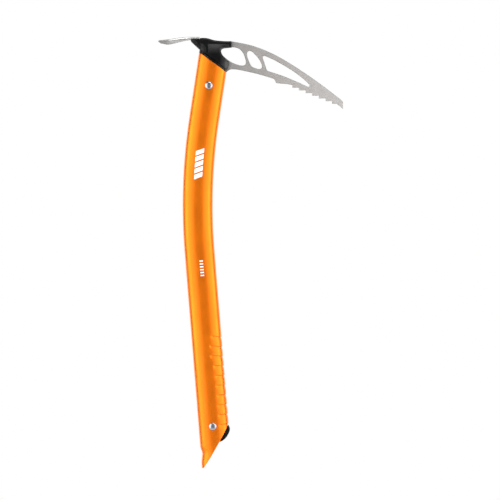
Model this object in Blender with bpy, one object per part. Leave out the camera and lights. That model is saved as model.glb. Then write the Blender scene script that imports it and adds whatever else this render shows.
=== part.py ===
"""Compact ice axe: a bent oval shaft with a steel pick, an adze, a moulded head cover and a spike plug.

Frame: +Z points up along the axe as it hangs by its clip hole, +X points to the pick and Y runs
across it, with Y = 0 in the middle of the pick plate. The origin is the centre of the clip hole.
Every dimension is in millimetres, and the meshes are scaled to metres as they are made.
"""

import bpy
import bmesh
from math import atan2, copysign, cos, exp, floor, hypot, pi, radians, sin, sqrt, tan
from mathutils import Vector

MM = 0.001
GAP = 0.3                      # clearance between two pieces that touch

# Shaft: an oval tube, straight at the head, bent in the middle, straight at the foot
JOINT = (-23.3, -7.0)          # where the axis meets the slanting joint with the head
LEAN_HEAD = radians(8.6)       # lean of the head end from the vertical
LEAN_FOOT = radians(-4.62)     # lean of the foot end, the other way
BEND_START = 60.0              # length of the straight head end
BEND_RADIUS = 598.0
HALF_WIDTH = 15.75             # of the oval, along the swing of the axe
HALF_DEPTH = 9.5               # of the oval, across it
OVAL_POWER = 2.35              # 2 is an ellipse, more is squarer
WALL = 1.4
SIDES = 40                     # straight sides round a tube

# Ends of the shaft
JOINT_SLOPE = radians(-36.3)   # the slanting joint falls towards the pick
FOOT_CUT_TOP = (-6.9, -384.9)  # where the spike's cut leaves the front of the tube
FOOT_CUT_TIP = (-32.6, -430.2)
FOOT_CUT_BULGE = 0.8           # how far the cut bows out
TIP_FLAT = 1.4                 # width of the blunt tip
PRESS = 1.5                    # depth of the dent pressed into the back of the spike

# Finger grooves in the front of the grip
GROOVES = 10
GROOVE_FIRST = 289.4           # distance of the first groove down the axis, at the front edge
GROOVE_PITCH = 10.05
GROOVE_DEPTH = 0.68
GROOVE_SHELF = 0.65            # height of the steep side above a groove
GROOVE_SLOPE = 5.0             # length of the slope that runs out below it
GROOVE_TILT = 0.19             # fall of the first groove towards the front, for each unit across
GROOVE_TURN = 0.027            # how much less each next groove falls
GROOVE_FADE = 3.2              # length over which a groove's inner end fades

# Dent in the back of the spike, as distances down the axis
DENT_START = 401.0
DENT_DEEPEST = 408.5
DENT_END = 419.0

# Plates and sheets
PLATE = 3.2                    # thickness of the pick
SHEET = 1.8                    # thickness of the adze
TANG_HALF_WIDTH = 13.4
TANG_END = 36.5                # how far the pick's tang runs down inside the tube
LEG_END = 13.0                 # how far the head cover's legs run down inside it
LEG_TOP = -2.5                 # where the legs start, above the joint
SHIM_END = 36.0

# Adze: X of its cutting edge and of its inner end, half widths, and the fall of its sides
ADZE_TIP = -80.2
ADZE_END = -37.0
ADZE_HALF_WIDTH = 22.0
ADZE_NECK_HALF_WIDTH = 8.8
ADZE_CORNER = -70.0            # X where the cutting edge's rounded corners start
ADZE_FLARE = 26.0              # length over which the sides run in to the neck
ADZE_DROOP = 0.7
ADZE_EDGE = 0.35               # thickness at the cutting edge
ADZE_BEVEL = 9.0               # length of the ground bevel

# Relief of the head cover: heights of its lines, and depths from the middle plane
LIP = 1.9                      # height of the rim along the joint
LIP_GROOVE = 0.5
SHOULDER_START = 2.0           # Z where the panel starts to slope back
SHOULDER_END = 11.7            # Z of the panel's upper edge
SHOULDER_DROP = 2.5
PANEL_LEFT = -28.3             # X of the panel's rear edge
PANEL_RISE = 0.5               # how far the panel stands out from the shaft's face
PANEL_POWER = 3.2              # squareness of the panel's section
RECESS_DEPTH = 7.0             # behind the panel
ARM_DEPTH = 6.0
NOSE_DEPTH = 5.2               # at the nose's edge
NOSE_SLOPE = 0.6
FLANGE_DEPTH = 3.8             # at the flange's edge
FLANGE_RISE = 3.2              # how much the flange swells from there
FLANGE_REACH = 6.0             # over this length
CHEEK_PITCH = 1.8              # spacing of the mesh lines on the cover

# Plug
PLUG_START = 370.0
PLUG_END = 404.0
PLUG_LOWEST = -402.2           # Z of the plug's lower end

# Rivets: (distance down the axis, offset across it) or (X, Z)
HEAD_RIVET_AT = (24.7, -0.2)
FOOT_RIVET_AT = (-23.1, -386.6)
RIVET_HEAD = 4.0               # radius
RIVET_RISE = 1.5
RIVET_RIM = 0.25               # height of the straight rim under the dome
RIVET_SHANK = 2.4              # radius
SLEEVE_RADIUS = 3.5
ADZE_RIVETS = ((-30.6, 11.0), (-23.8, 10.2))
ADZE_RIVET_HEAD = 2.8
ADZE_RIVET_RISE = 1.0
ADZE_RIVET_SHANK = 1.7
PEGS = ((-25.0, 1.2), (-15.6, -6.2))
PEG_RADIUS = 2.0

# Pick teeth
TEETH = 7
TOOTH_FIRST = (59.8, -30.3)    # top of the first tooth's steep face
TOOTH_PITCH = (6.93, -2.81)
TOOTH_STEP = 2.8


# ---------------------------------------------------------------- curves and outlines

def smooth(points, steps=6):
    """A curve through the points, with the given number of steps between two of them."""
    ends = [points[0], *points, points[-1]]
    curve = []
    for a, b, c, d in zip(ends, ends[1:], ends[2:], ends[3:]):
        for i in range(steps):
            t = i / steps
            curve.append(tuple(
                q + t / 2 * (r - p + t * (2 * p - 5 * q + 4 * r - s + t * (3 * (q - r) + s - p)))
                for p, q, r, s in zip(a, b, c, d)))
    curve.append(tuple(points[-1]))
    return curve


def ring(points, steps=4):
    """A closed smooth curve through the points."""
    wrapped = [points[-1], *points, points[0], points[1]]
    curve = smooth(wrapped, steps)
    return curve[steps:-2 * steps]


def arc(start, end, bulge, steps):
    """An arc from start to end that bows to the left of the way it runs by bulge."""
    chord = Vector(end) - Vector(start)
    half = chord.length / 2
    radius = (half * half + bulge * bulge) / (2 * bulge)
    across = Vector((-chord.y, chord.x)).normalized()
    middle = (Vector(start) + Vector(end)) / 2 + across * (bulge - radius)
    first = Vector(start) - middle
    sweep = -copysign(2 * atan2(half, abs(radius - bulge)), bulge)
    points = []
    for i in range(steps + 1):
        a = sweep * i / steps
        points.append((middle.x + first.x * cos(a) - first.y * sin(a),
                       middle.y + first.x * sin(a) + first.y * cos(a)))
    return points


def circle(centre, radius, steps=32):
    return [(centre[0] + radius * cos(2 * pi * i / steps), centre[1] + radius * sin(2 * pi * i / steps))
            for i in range(steps)]


def ease(t):
    t = min(max(t, 0.0), 1.0)
    return t * t * (3 - 2 * t)


def spread(start, end, steps):
    """Even values from start to end."""
    return [start + (end - start) * i / steps for i in range(steps + 1)]


def distance_to_run(x, z, run):
    """Distance from a point to an open run of straight pieces."""
    best = float("inf")
    for (ax, az), (bx, bz) in zip(run, run[1:]):
        dx, dz = bx - ax, bz - az
        t = ((x - ax) * dx + (z - az) * dz) / max(dx * dx + dz * dz, 1e-12)
        t = min(max(t, 0.0), 1.0)
        best = min(best, hypot(x - ax - t * dx, z - az - t * dz))
    return best


# ---------------------------------------------------------------- the shaft's axis and section

BEND_END = BEND_START + (LEAN_HEAD - LEAN_FOOT) * BEND_RADIUS


def lean_at(s):
    """Lean of the axis at s down from the joint."""
    turned = (min(max(s, BEND_START), BEND_END) - BEND_START) / BEND_RADIUS
    return LEAN_HEAD - turned


def axis(s):
    """The point of the axis at s down from the joint."""
    x, z = JOINT
    straight = min(s, BEND_START)
    x -= straight * sin(LEAN_HEAD)
    z -= straight * cos(LEAN_HEAD)
    if s > BEND_START:
        lean = lean_at(s)
        x -= BEND_RADIUS * (cos(lean) - cos(LEAN_HEAD))
        z -= BEND_RADIUS * (sin(LEAN_HEAD) - sin(lean))
    if s > BEND_END:
        x -= (s - BEND_END) * sin(LEAN_FOOT)
        z -= (s - BEND_END) * cos(LEAN_FOOT)
    return x, z


def beside(s, u):
    """The point (X, Z) at s down the axis and u across it, towards the pick."""
    x, z = axis(s)
    lean = lean_at(s)
    return x + u * cos(lean), z - u * sin(lean)


def head_place(x, z):
    """The (s, u) of a point by the straight head end."""
    dx, dz = x - JOINT[0], z - JOINT[1]
    return -dx * sin(LEAN_HEAD) - dz * cos(LEAN_HEAD), dx * cos(LEAN_HEAD) - dz * sin(LEAN_HEAD)


def oval(half_width, half_depth, sides=SIDES):
    """Offsets (across, Y) of an oval section."""
    points = []
    for i in range(sides):
        a = 2 * pi * i / sides
        c, d = cos(a), sin(a)
        points.append((copysign(half_width * abs(c) ** (2 / OVAL_POWER), c),
                       copysign(half_depth * abs(d) ** (2 / OVAL_POWER), d)))
    return points


def oval_depth(u, half_width, half_depth, power=OVAL_POWER):
    rest = max(0.0, 1 - abs(u / half_width) ** power)
    return half_depth * rest ** (1 / power)


def groove_number(s):
    return floor((s - GROOVE_FIRST + GROOVE_SHELF) / GROOVE_PITCH)


def groove_share(s):
    """Share of its full depth that a groove has at s: a steep shelf, then a slope back out."""
    number = groove_number(s)
    if not 0 <= number < GROOVES:
        return 0.0
    below = s - GROOVE_FIRST - number * GROOVE_PITCH
    if below < 0.0:
        return ease(1 + below / GROOVE_SHELF)
    return max(0.0, 1 - below / GROOVE_SLOPE) ** 1.6


def groove_tilt(s):
    """Slope of the grooves: the top ones fall towards the front edge, the bottom ones rise."""
    number = (s - GROOVE_FIRST) / GROOVE_PITCH
    fade_in = ease((number + 2.5) / 2.0)
    fade_out = 1 - ease((number - GROOVES - 0.2) / 1.0)
    return (GROOVE_TILT - GROOVE_TURN * number) * fade_in * fade_out


def groove_reach(number):
    """How far across the axis a groove's inner end lies: the upper ones reach further in."""
    return 5.4 - 4.4 * exp(-((number - 1.5) / 1.3) ** 2)


def dent_depth(s):
    """How far the back wall is pressed in at s."""
    if s < DENT_DEEPEST:
        return PRESS * ease((s - DENT_START) / (DENT_DEEPEST - DENT_START))
    return PRESS * (1 - ease((s - DENT_DEEPEST) / (DENT_END - DENT_DEEPEST)))


def grooved_point(s, u, y):
    """A point of the shaft's outside, sunk along its normal where a groove crosses it."""
    depth = GROOVE_DEPTH * groove_share(s) * ease((u - groove_reach(groove_number(s))) / GROOVE_FADE)
    if depth > 0.0:
        across = (u / HALF_WIDTH) ** (OVAL_POWER - 1) / HALF_WIDTH
        deep = (abs(y) / HALF_DEPTH) ** (OVAL_POWER - 1) / HALF_DEPTH
        length = hypot(across, deep)
        u -= depth * across / length
        y -= depth * copysign(deep, y) / length
    return u, y


# ---------------------------------------------------------------- meshes

def finish_mesh(name, bm, material=None, rounded=False):
    """Turn a bmesh in millimetres into an object in metres."""
    bmesh.ops.recalc_face_normals(bm, faces=bm.faces)
    bmesh.ops.scale(bm, vec=(MM, MM, MM), verts=bm.verts)
    for face in bm.faces:
        face.smooth = rounded
    mesh = bpy.data.meshes.new(name)
    bm.to_mesh(mesh)
    bm.free()
    if material:
        mesh.materials.append(material)
    obj = bpy.data.objects.new(name, mesh)
    bpy.context.collection.objects.link(obj)
    return obj


def stack(name, rings, material=None, rounded=True):
    """A closed solid through a stack of rings, each a list of (x, y, z)."""
    bm = bmesh.new()
    loops = [[bm.verts.new(p) for p in points] for points in rings]
    for low, high in zip(loops, loops[1:]):
        count = len(low)
        for i in range(count):
            j = (i + 1) % count
            bm.faces.new((low[i], low[j], high[j], high[i]))
    bm.faces.new(loops[0])
    bm.faces.new(loops[-1])
    return finish_mesh(name, bm, material, rounded)


def prism(name, outline, y_low, y_high, material=None):
    """The outline (X, Z) made solid from y_low to y_high."""
    rings = [[(x, y, z) for x, z in outline] for y in (y_low, y_high)]
    return stack(name, rings, material, rounded=False)


def spun(name, profile, centre, material=None, sides=32):
    """A (radius, Y) profile, spun about the Y line through centre."""
    x, z = centre
    rings = [[(x + r * cos(2 * pi * i / sides), y, z + r * sin(2 * pi * i / sides))
              for i in range(sides)] for r, y in profile]
    return stack(name, rings, material)


def tube_part(name, s_values, half_width, half_depth, material=None, sides=SIDES):
    """A solid bar with the oval section that follows the axis."""
    rings = []
    for s in s_values:
        points = []
        for u, y in oval(half_width, half_depth, sides):
            u += dent_depth(s) * ease(-u / HALF_WIDTH * 1.6 - 0.3)
            x, z = beside(s, u)
            points.append((x, y, z))
        rings.append(points)
    return stack(name, rings, material)


def grooved_tube(name, s_values, material):
    """The shaft's outside. Its rings slant with the grooves."""
    rings = []
    for s in s_values:
        points = []
        for u, y in oval(HALF_WIDTH, HALF_DEPTH):
            at = s + groove_tilt(s) * (u - HALF_WIDTH)
            u, y = grooved_point(s, u, y)
            u += dent_depth(at) * ease(-u / HALF_WIDTH * 1.6 - 0.3)
            x, z = beside(at, u)
            points.append((x, y, z))
        rings.append(points)
    return stack(name, rings, material)


def combine(target, tool, operation):
    """Cut, join or intersect the target with a tool, which is then hidden."""
    boolean = target.modifiers.new(operation.lower() + "_" + tool.name, "BOOLEAN")
    boolean.operation = operation
    boolean.solver = "EXACT"
    boolean.object = tool
    tool.hide_render = True
    tool.display_type = "WIRE"


def cut(target, *tools):
    for tool in tools:
        combine(target, tool, "DIFFERENCE")


def join(target, *tools):
    for tool in tools:
        combine(target, tool, "UNION")


def keep_inside(target, tool):
    combine(target, tool, "INTERSECT")


def material(name, colour, roughness, metallic):
    mat = bpy.data.materials.new(name)
    mat.use_nodes = True
    shader = mat.node_tree.nodes["Principled BSDF"]
    shader.inputs["Base Color"].default_value = (*colour, 1.0)
    shader.inputs["Roughness"].default_value = roughness
    shader.inputs["Metallic"].default_value = metallic
    mat.diffuse_color = (*colour, 1.0)
    return mat


# ---------------------------------------------------------------- outlines of the head

def pick_top():
    """Upper edge of the pick, from the end of the head cover to the tip."""
    return smooth([(-3.3, 15.2), (18.3, 10.6), (39.2, 2.4), (60.1, -9.5), (85.2, -26.4), (110.0, -45.2)], 7)


def pick_teeth():
    """Lower edge from the tip back to the hook, tooth by tooth."""
    points = []
    for i in reversed(range(TEETH)):
        x = TOOTH_FIRST[0] + i * TOOTH_PITCH[0]
        z = TOOTH_FIRST[1] + i * TOOTH_PITCH[1]
        points.append((x + TOOTH_PITCH[0] - 0.7, z - TOOTH_STEP + 0.15))
        points.append((x + 0.5, z - TOOTH_STEP))
        points.append((x, z - TOOTH_STEP + 0.5))
        points.append((x, z))
    return points


def pick_underside():
    """Lower edge from the hook back to the head cover."""
    return smooth([(43.9, -28.4), (42.6, -27.5), (41.3, -24.9), (39.4, -23.5), (22.5, -18.5),
                   (5.7, -14.8), (-0.5, -13.9), (-4.4, -14.0), (-7.0, -15.2)], 4)


def joint_line(u, lift):
    """The point of the joint's plane at u across the axis, raised by lift."""
    lean_to_joint = JOINT_SLOPE + LEAN_HEAD
    s = -u * tan(lean_to_joint) - lift / cos(lean_to_joint)
    return beside(s, u)


def above_joint(x, z):
    """Distance of a point from the joint's plane."""
    return (z - JOINT[1]) * cos(JOINT_SLOPE) - (x - JOINT[0]) * sin(JOINT_SLOPE)


def pick_outline():
    points = [(-33.0, 15.6)]
    points += smooth([(-28.6, 15.4), (-21.0, 14.3), (-12.0, 14.0), (-3.3, 14.4)], 3)
    points += pick_top()
    points += [(112.2, -47.2), (112.9, -49.0), (113.0, -55.4)]
    points += [(109.9, -52.7), (106.7, -50.6)]
    points += pick_teeth()
    points += [(54.0, -29.3)]
    points += pick_underside()
    points += [joint_line(15.9, 0.9), joint_line(TANG_HALF_WIDTH, 0.9)]
    corner = 5.0
    points += [beside(TANG_END - corner, TANG_HALF_WIDTH)]
    points += smooth([beside(TANG_END - corner * 0.3, TANG_HALF_WIDTH - corner * 0.3),
                      beside(TANG_END, TANG_HALF_WIDTH - corner)], 2)
    points += smooth([beside(TANG_END, corner - TANG_HALF_WIDTH),
                      beside(TANG_END - corner * 0.3, corner * 0.3 - TANG_HALF_WIDTH)], 2)
    points += [beside(TANG_END - corner, -TANG_HALF_WIDTH)]
    return points


def clip_hole():
    return ring([(-15.2, 4.7), (-14.5, 7.4), (-11.8, 9.0), (-7.3, 9.3), (-2.6, 9.2), (1.6, 8.6), (5.5, 6.6),
                 (8.5, 2.9), (10.6, -2.3), (11.3, -6.5), (10.7, -9.1), (8.6, -10.0), (5.5, -9.9),
                 (1.6, -8.7), (-2.6, -7.1), (-7.0, -4.4), (-11.3, -0.9), (-14.0, 2.1)], 3)


def web_hole():
    return ring([(15.3, 5.4), (13.2, 4.2), (12.6, 1.6), (13.5, -2.6), (16.0, -8.6), (18.3, -11.5),
                 (22.5, -13.1), (25.4, -13.8), (27.4, -12.9), (28.0, -10.4), (26.8, -6.5), (23.5, -1.3),
                 (20.3, 2.1), (17.8, 4.6)], 3)


def long_hole():
    top = smooth([(29.2, -0.4), (30.6, 0.1), (33.2, -0.7), (43.4, -5.5), (60.1, -15.4),
                  (72.6, -24.9), (77.6, -29.9)], 4)
    end = smooth([(77.8, -31.6), (76.6, -32.2), (74.6, -31.6)], 2)
    bottom = smooth([(68.5, -28.6), (51.7, -21.5), (37.1, -16.6), (34.0, -15.5)], 4)
    left = smooth([(33.2, -14.4), (32.3, -12.0), (30.8, -6.9), (29.1, -2.6)], 3)
    return top + end + bottom + left


def cover_top():
    """Top edge of the head cover, from the adze to the end of its arm over the clip hole."""
    return smooth([(-36.7, 18.4), (-33.0, 18.6), (-28.2, 18.1), (-20.9, 16.1), (-10.5, 15.2),
                   (-3.5, 15.2)], 4)


def cover_hand_side():
    """Edge of the head cover round the clip hole, from the arm's end to the top of its nose."""
    return smooth([(-3.5, 9.0), (-7.3, 8.7), (-12.0, 8.3), (-14.2, 6.8), (-14.5, 4.7), (-13.1, 0.8),
                   (-9.4, -3.5), (-6.0, -6.4)], 4)


def cover_nose():
    """Edge of the nose, from the clip hole down to the shaft."""
    return smooth([(-5.7, -7.2), (-6.2, -9.6), (-8.2, -15.6)], 3)


def cover_flange():
    """Edge of the flange under the adze, from the shaft up to the adze."""
    return [(-36.9, 6.4)] + smooth([(-45.4, 14.4), (-46.2, 15.6), (-46.2, 17.0)], 2)


def cover_outline():
    return ([joint_line(-15.6, GAP)] + cover_flange() + [(-36.7, 17.0)] + cover_top() + cover_hand_side()
            + cover_nose() + [joint_line(15.6, GAP)])


# ---------------------------------------------------------------- pieces

def shaft_rings():
    """Distances down the axis of the shaft's rings: close where it bends, is grooved or is pressed."""
    rings = [-14.0]
    rings += spread(BEND_START, BEND_END, 12)
    rings += [GROOVE_FIRST - 2.5 * GROOVE_PITCH + 5.0 * i for i in range(5)]
    for i in range(GROOVES):
        shelf = GROOVE_FIRST + i * GROOVE_PITCH
        rings += [shelf - GROOVE_SHELF, shelf]
        rings += [shelf + GROOVE_SLOPE * share for share in (0.3, 0.62, 1.0)]
    rings += [GROOVE_FIRST + GROOVES * GROOVE_PITCH + step for step in (0.0, 5.0, 10.5)]
    return rings + spread(DENT_START, DENT_END, 6) + [442.0]


def make_shaft(mat):
    shaft = grooved_tube("shaft", shaft_rings(), mat)
    bends = spread(BEND_START, BEND_END, 12) + spread(DENT_START, DENT_END, 6)
    bore = tube_part("shaft_bore", [-20.0] + bends + [450.0], HALF_WIDTH - WALL, HALF_DEPTH - WALL)
    left, right = joint_line(-30.0, 0.0), joint_line(30.0, 0.0)
    head_cut = prism("shaft_head_cut", [left, right, (right[0], 30.0), (left[0], 30.0)], -20.0, 20.0)
    foot = arc(FOOT_CUT_TOP, FOOT_CUT_TIP, FOOT_CUT_BULGE, 8)
    foot += [(FOOT_CUT_TIP[0] - TIP_FLAT, FOOT_CUT_TIP[1] - 0.4), (-60.0, -431.0), (-60.0, -460.0),
             (20.0, -460.0), (20.0, FOOT_CUT_TOP[1] + 47.0)]
    foot_cut = prism("shaft_foot_cut", foot, -20.0, 20.0)
    cut(shaft, bore, head_cut, foot_cut)
    for name, at in (("head", beside(*HEAD_RIVET_AT)), ("foot", FOOT_RIVET_AT)):
        hole = spun(f"shaft_{name}_rivet_hole", [(RIVET_SHANK + GAP, -15.0), (RIVET_SHANK + GAP, 15.0)], at)
        cut(shaft, hole)


def make_pick(mat):
    pick = prism("pick", pick_outline(), -PLATE / 2, PLATE / 2, mat)
    for name, outline in (("clip_hole", clip_hole()), ("web_hole", web_hole()), ("long_hole", long_hole())):
        cut(pick, prism(f"pick_{name}", outline, -PLATE, PLATE))
    holes = [(beside(*HEAD_RIVET_AT), RIVET_SHANK)]
    holes += [(at, ADZE_RIVET_SHANK) for at in ADZE_RIVETS]
    holes += [(at, PEG_RADIUS) for at in PEGS]
    for i, (at, radius) in enumerate(holes):
        cut(pick, prism(f"pick_hole_{i}", circle(at, radius + GAP, 24), -PLATE, PLATE))


def adze_half_width(x):
    """Plan of the adze: a rounded cutting edge, a flare and a neck."""
    flare = ADZE_HALF_WIDTH - (ADZE_HALF_WIDTH - ADZE_NECK_HALF_WIDTH) * ease((x - ADZE_CORNER) / ADZE_FLARE)
    corner = max(ADZE_CORNER - x, 0.0) / (ADZE_CORNER - ADZE_TIP)
    return flare * (0.7 + 0.3 * sqrt(max(0.0, 1 - corner ** 3)))


def adze_height(x):
    """Height of the adze's upper face along its middle."""
    return 15.6 + 3.5 * ease((x + 77.0) / 31.0)


def make_adze(mat):
    """A bent sheet, sharpened from below, with two ears that straddle the pick's plate."""
    lengths, across = 22, 8
    bm = bmesh.new()
    layers = []
    for side in (0, 1):
        grid = []
        for i in range(lengths + 1):
            t = i / lengths
            row = []
            for j in range(across + 1):
                v = 2 * j / across - 1
                bow = 2.4 * v * v * (1 - ease(t * 3))
                droop = ADZE_DROOP * v * v * (1 - ease((t - 0.25) / 0.6))
                x = ADZE_TIP + bow + (ADZE_END - ADZE_TIP - bow) * t
                y = v * adze_half_width(x)
                thick = SHEET - (SHEET - ADZE_EDGE) * (1 - ease((x - ADZE_TIP - bow) / ADZE_BEVEL))
                row.append(bm.verts.new((x, y, adze_height(x) - droop - thick * side)))
            grid.append(row)
        layers.append(grid)
    top, under = layers
    for i in range(lengths):
        for j in range(across):
            bm.faces.new((top[i][j], top[i + 1][j], top[i + 1][j + 1], top[i][j + 1]))
            bm.faces.new((under[i][j], under[i][j + 1], under[i + 1][j + 1], under[i + 1][j]))
        for j in (0, across):
            bm.faces.new((top[i][j], under[i][j], under[i + 1][j], top[i + 1][j]))
    for j in range(across):
        for i in (0, lengths):
            bm.faces.new((top[i][j], top[i][j + 1], under[i][j + 1], under[i][j]))
    adze = finish_mesh("adze", bm, mat, rounded=True)
    for name, side in (("left", 1), ("right", -1)):
        near, far = side * (PLATE / 2 + GAP), side * (PLATE / 2 + GAP + SHEET)
        join(adze, prism(f"adze_ear_{name}", ear_outline(0.0), near, far))
    for i, at in enumerate(ADZE_RIVETS):
        cut(adze, prism(f"adze_hole_{i}", circle(at, ADZE_RIVET_SHANK + GAP, 24), -6.0, 6.0))


def ear_outline(grow):
    """Side of an ear, grown all round by grow."""
    g = grow
    return [(-43.5 - g, 18.1 + g), (-37.6 + g, 18.1 + g), (-37.4 + g, 16.2 + g), (-28.5, 15.9 + g),
            (-21.0 + g, 14.6 + g), (-19.4 + g, 12.5), (-19.6 + g, 6.6), (-21.0 + g, 5.6 - g),
            (-31.5, 5.6 - g), (-36.0 - g, 9.4 - g)]


def relief(x, z):
    """Depth of the cover's outer face from the middle plane, before its edges are rounded."""
    above = above_joint(x, z)
    _, u = head_place(x, z)
    oval_face = oval_depth(u, HALF_WIDTH, HALF_DEPTH)
    climb = min(max((z - SHOULDER_START) / (SHOULDER_END - SHOULDER_START), 0.0), 1.0)
    panel = oval_depth(u, HALF_WIDTH, HALF_DEPTH, PANEL_POWER)
    panel += PANEL_RISE * ease((above - LIP - 0.3) / 0.8) - SHOULDER_DROP * climb ** 2
    recess = min(oval_face, RECESS_DEPTH)
    on_panel = ease((x - PANEL_LEFT) / 0.6)
    depth = recess + (panel - recess) * on_panel
    depth += (oval_face - depth) * (1 - ease((above - LIP) / 0.35))
    soften = 1 - on_panel
    depth += (ARM_DEPTH - depth) * ease((z - SHOULDER_END + 2.0 * soften) / (0.5 + 3.5 * soften))
    depth -= LIP_GROOVE * ease((above - LIP) / 0.35) * (1 - ease((above - LIP - 0.5) / 0.6))
    least = ARM_DEPTH * ease(above / 5.0)
    return (max(depth, 0.0) ** 8 + least ** 8) ** (1 / 8)


def round_off(depth, distance, radius):
    """The depth near a rounded edge at that distance."""
    if distance < radius:
        depth -= min(depth - 0.6, radius - sqrt(radius * radius - (radius - distance) ** 2))
    return depth


def cheek_depth(x, z, edges):
    """How far the cover's outer face stands from the middle plane."""
    depth = relief(x, z)
    depth = min(depth, NOSE_DEPTH + NOSE_SLOPE * distance_to_run(x, z, cover_nose()))
    flange = distance_to_run(x, z, cover_flange())
    swell = FLANGE_RISE * (1 - max(1 - flange / FLANGE_REACH, 0.0) ** 2)
    depth = min(depth, FLANGE_DEPTH + swell + ARM_DEPTH * ease((flange - FLANGE_REACH) / 3.0))
    for run, radius in edges:
        depth = round_off(depth, distance_to_run(x, z, run), radius)
    return max(depth, 0.6)


def cheek_lines():
    """Lines of the cheek's mesh: (way, distance from the joint), along the relief's own lines."""
    upright, level = Vector((0.0, 0.0, 1.0)), Vector((1.0, 0.0, 0.0))
    up = Vector((-sin(JOINT_SLOPE), 0.0, cos(JOINT_SLOPE)))
    across = Vector((cos(LEAN_HEAD), 0.0, -sin(LEAN_HEAD)))
    heights = [CHEEK_PITCH * i for i in range(1, 19)]
    heights += [LIP, LIP + 0.35, LIP + 1.1]
    lines = [(up, height) for height in heights]
    lines += [(across, CHEEK_PITCH * i) for i in range(-15, 14)]
    lines += [(upright, SHOULDER_END - JOINT[1] + step) for step in (0.0, 0.5)]
    return lines + [(level, PANEL_LEFT - JOINT[0] + step) for step in (0.0, 0.6)]


def cheek(name, side, mat):
    """Outer half of the cover on one side: a slab whose outer face is raised to cheek_depth."""
    edges = ((cover_top(), 2.4), (cover_hand_side(), 1.9), (cover_flange(), 1.2),
             ([cover_top()[-1], cover_hand_side()[0]], 1.0), (cover_nose(), 0.7))
    bm = bmesh.new()
    bm.faces.new([bm.verts.new((x, GAP / 2, z)) for x, z in cover_outline()])
    joint = Vector((JOINT[0], 0.0, JOINT[1]))
    for way, distance in cheek_lines():
        bmesh.ops.bisect_plane(bm, geom=bm.verts[:] + bm.edges[:] + bm.faces[:], dist=0.05,
                               plane_co=joint + way * distance, plane_no=way)
    raised = bmesh.ops.extrude_face_region(bm, geom=bm.faces[:])["geom"]
    for vert in [v for v in raised if isinstance(v, bmesh.types.BMVert)]:
        vert.co.y = cheek_depth(vert.co.x, vert.co.z, edges)
    flat = [f for f in bm.faces if all(abs(v.co.y - GAP / 2) < 1e-6 for v in f.verts)]
    bmesh.ops.dissolve_faces(bm, faces=flat)
    bmesh.ops.scale(bm, vec=(1, side, 1), verts=bm.verts)
    return finish_mesh(name, bm, mat, rounded=True)


def make_cover(mat):
    """Two moulded halves: each has a cheek, a leg inside the tube, and pockets for what it covers."""
    face = PLATE / 2 + GAP
    for side, tag in ((1, "left"), (-1, "right")):
        half = cheek(f"head_cover_{tag}", side, mat)
        leg = tube_part(f"{tag}_leg", [-12.0, LEG_END], HALF_WIDTH - WALL - GAP, HALF_DEPTH - WALL - GAP,
                        sides=32)
        top_left, top_right = joint_line(-14.5, -LEG_TOP), joint_line(14.5, -LEG_TOP)
        window = [top_left, top_right, beside(LEG_END + 5, 14.5), beside(LEG_END + 5, -14.5)]
        keep_inside(leg, prism(f"{tag}_leg_window", window, side * face, side * 12.0))
        join(half, leg)
        slot = [(-33.3, 15.9), (-28.6, 15.7), (-21.0, 14.6), (-12.0, 14.3), (0.0, 14.7), (0.0, -40.0),
                beside(30.0, -TANG_HALF_WIDTH - GAP)]
        cut(half, prism(f"{tag}_plate_slot", slot, -face, face))
        cut(half, prism(f"{tag}_ear_pocket", ear_outline(GAP), side * -1.0, side * (face + SHEET + GAP)))
        for i, at in enumerate(ADZE_RIVETS):
            reach = side * (face + SHEET + GAP + ADZE_RIVET_RISE + GAP)
            cut(half, prism(f"{tag}_rivet_pocket_{i}", circle(at, ADZE_RIVET_HEAD + GAP, 24), side, reach))
        for i, at in enumerate(PEGS):
            if side > 0:
                join(half, prism(f"{tag}_peg_{i}", circle(at, PEG_RADIUS, 24), -4.5, face + 1.0))
            else:
                cut(half, prism(f"{tag}_socket_{i}", circle(at, PEG_RADIUS + GAP, 24), -4.8, 1.0))


def make_shims(mat):
    """Two fillers that hold the tang in the middle of the tube, round the head rivet."""
    hole = circle(beside(*HEAD_RIVET_AT), RIVET_SHANK + GAP, 24)
    for name, side in (("left", 1), ("right", -1)):
        shim = tube_part(f"tang_shim_{name}", [LEG_END + GAP, SHIM_END],
                         HALF_WIDTH - WALL - GAP, HALF_DEPTH - WALL - GAP, mat, sides=32)
        window = [beside(0.0, -16.0), beside(0.0, 16.0), beside(60.0, 16.0), beside(60.0, -16.0)]
        keep_inside(shim, prism(f"shim_{name}_window", window, side * (PLATE / 2 + GAP), side * 12.0))
        cut(shim, prism(f"shim_{name}_hole", hole, -12.0, 12.0))


def rivet_profile(head, rise, shank, half_grip):
    """Half profile of a rivet with a domed head at each end."""
    dome = [(head * cos(a), rise * sin(a)) for a in (0.0, 0.35, 0.7, 1.05, 1.35)]
    low = [(r, -half_grip - RIVET_RIM - y) for r, y in reversed(dome)]
    high = [(r, half_grip + RIVET_RIM + y) for r, y in dome]
    return low + [(head, -half_grip), (shank, -half_grip), (shank, half_grip), (head, half_grip)] + high


def make_rivets(steel):
    large = rivet_profile(RIVET_HEAD, RIVET_RISE, RIVET_SHANK, HALF_DEPTH + GAP)
    spun("head_rivet", large, beside(*HEAD_RIVET_AT), steel)
    spun("end_rivet", large, FOOT_RIVET_AT, steel)
    grip = PLATE / 2 + GAP + SHEET + GAP
    small = rivet_profile(ADZE_RIVET_HEAD, ADZE_RIVET_RISE - RIVET_RIM, ADZE_RIVET_SHANK, grip)
    for name, at in zip(("rear", "front"), ADZE_RIVETS):
        spun(f"adze_rivet_{name}", small, at, steel, sides=24)


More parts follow.
